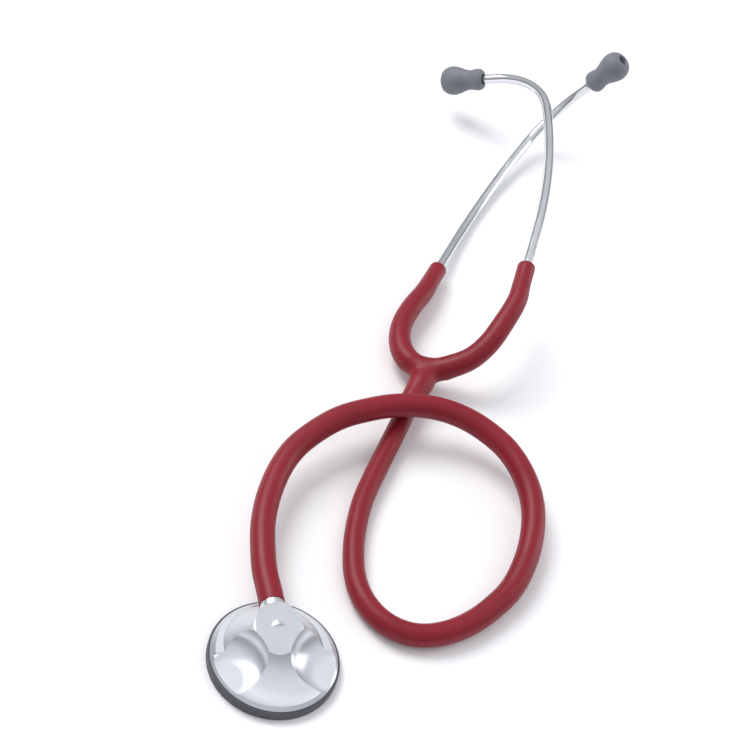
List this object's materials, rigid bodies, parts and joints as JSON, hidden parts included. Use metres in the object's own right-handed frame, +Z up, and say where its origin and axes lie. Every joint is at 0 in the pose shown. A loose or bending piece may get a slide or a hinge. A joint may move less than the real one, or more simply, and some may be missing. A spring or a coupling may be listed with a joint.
{
  "type": "stethoscope",
  "caption": "Single-sided acoustic stethoscope: disc chestpiece with scooped knob, one-loop hose, Y yoke and sprung crossed ear tubes with soft ear tips.",
  "frame": {"origin": "centre of the circle that the chestpiece's rim rests on, on the table", "axes": "+Z up from the table; +Y along the table from the chestpiece towards the ear tips, the longest direction"},
  "size_m": [0.1107, 0.3704, 0.0564],
  "materials": {
    "steel": "satin machined",
    "diaphragm": "clear-coated disc",
    "surround": "matt",
    "rim": "satin non-chill rim",
    "hose": "satin burgundy PVC",
    "yoke": "satin burgundy PVC",
    "spring": "spring steel",
    "rivet": "plain",
    "chrome_tube": "polished",
    "nipple": "turned",
    "core": "matt",
    "eartip": "soft matt grey"
  },
  "bodies": {
    "root": {"chestpiece_body": "steel", "tube_stem": "steel", "diaphragm_surround": "surround", "diaphragm_rim": "rim", "acoustic_tube": "hose", "yoke": "yoke", "leaf_spring": "spring"},
    "diaphragm": {"diaphragm": "diaphragm"},
    "left_arm": {"left_spring_clip": "spring", "left_clip_rivets": "rivet"},
    "left_tube": {"left_ear_tube": "chrome_tube", "left_tip_nipple": "nipple"},
    "left_tip": {"left_eartip_core": "core", "left_eartip": "eartip"},
    "right_arm": {"right_spring_clip": "spring", "right_clip_rivets": "rivet"},
    "right_tube": {"right_ear_tube": "chrome_tube", "right_tip_nipple": "nipple"},
    "right_tip": {"right_eartip_core": "core", "right_eartip": "eartip"}
  },
  "joints": [
    {"name": "diaphragm_travel", "type": "slide", "parent": "root", "child": "diaphragm", "axis": [0, 0, 1], "range_m": [0, 0.0003], "stiffness_N_per_m": 20000, "deforming": ["diaphragm_surround"]},
    {"name": "left_arm_spread", "type": "hinge", "parent": "root", "child": "left_arm", "pos_m": [0.0185, 0.158, 0.0085], "axis": [-0.6225, -0.143, 0.7694], "range_deg": [0, 36], "stiffness_Nm_per_rad": 1.3, "deforming": ["yoke", "leaf_spring"]},
    {"name": "left_tube_swivel", "type": "hinge", "parent": "left_arm", "child": "left_tube", "pos_m": [0.01516, 0.21997, 0.00629], "axis": [0.155, 0.9835, -0.0935], "range_deg": [-12, 12]},
    {"name": "left_eartip_turn", "type": "hinge", "parent": "left_tube", "child": "left_tip", "pos_m": [0.05697, 0.33876, 0.03695], "axis": [0.4885, 0.0413, 0.8716], "continuous": true},
    {"name": "right_arm_spread", "type": "hinge", "parent": "root", "child": "right_arm", "pos_m": [0.029, 0.157, 0.0112], "axis": [0.6225, 0.143, -0.7694], "range_deg": [0, 36], "stiffness_Nm_per_rad": 1.3, "deforming": ["yoke", "leaf_spring"]},
    {"name": "right_tube_swivel", "type": "hinge", "parent": "right_arm", "child": "right_tube", "pos_m": [0.04984, 0.21003, 0.03251], "axis": [0.0046, 0.9911, 0.1334], "range_deg": [-12, 12]},
    {"name": "right_eartip_turn", "type": "hinge", "parent": "right_tube", "child": "right_tip", "pos_m": [0.00873, 0.33273, 0.02522], "axis": [-0.8694, 0.1042, -0.483], "continuous": true}
  ]
}
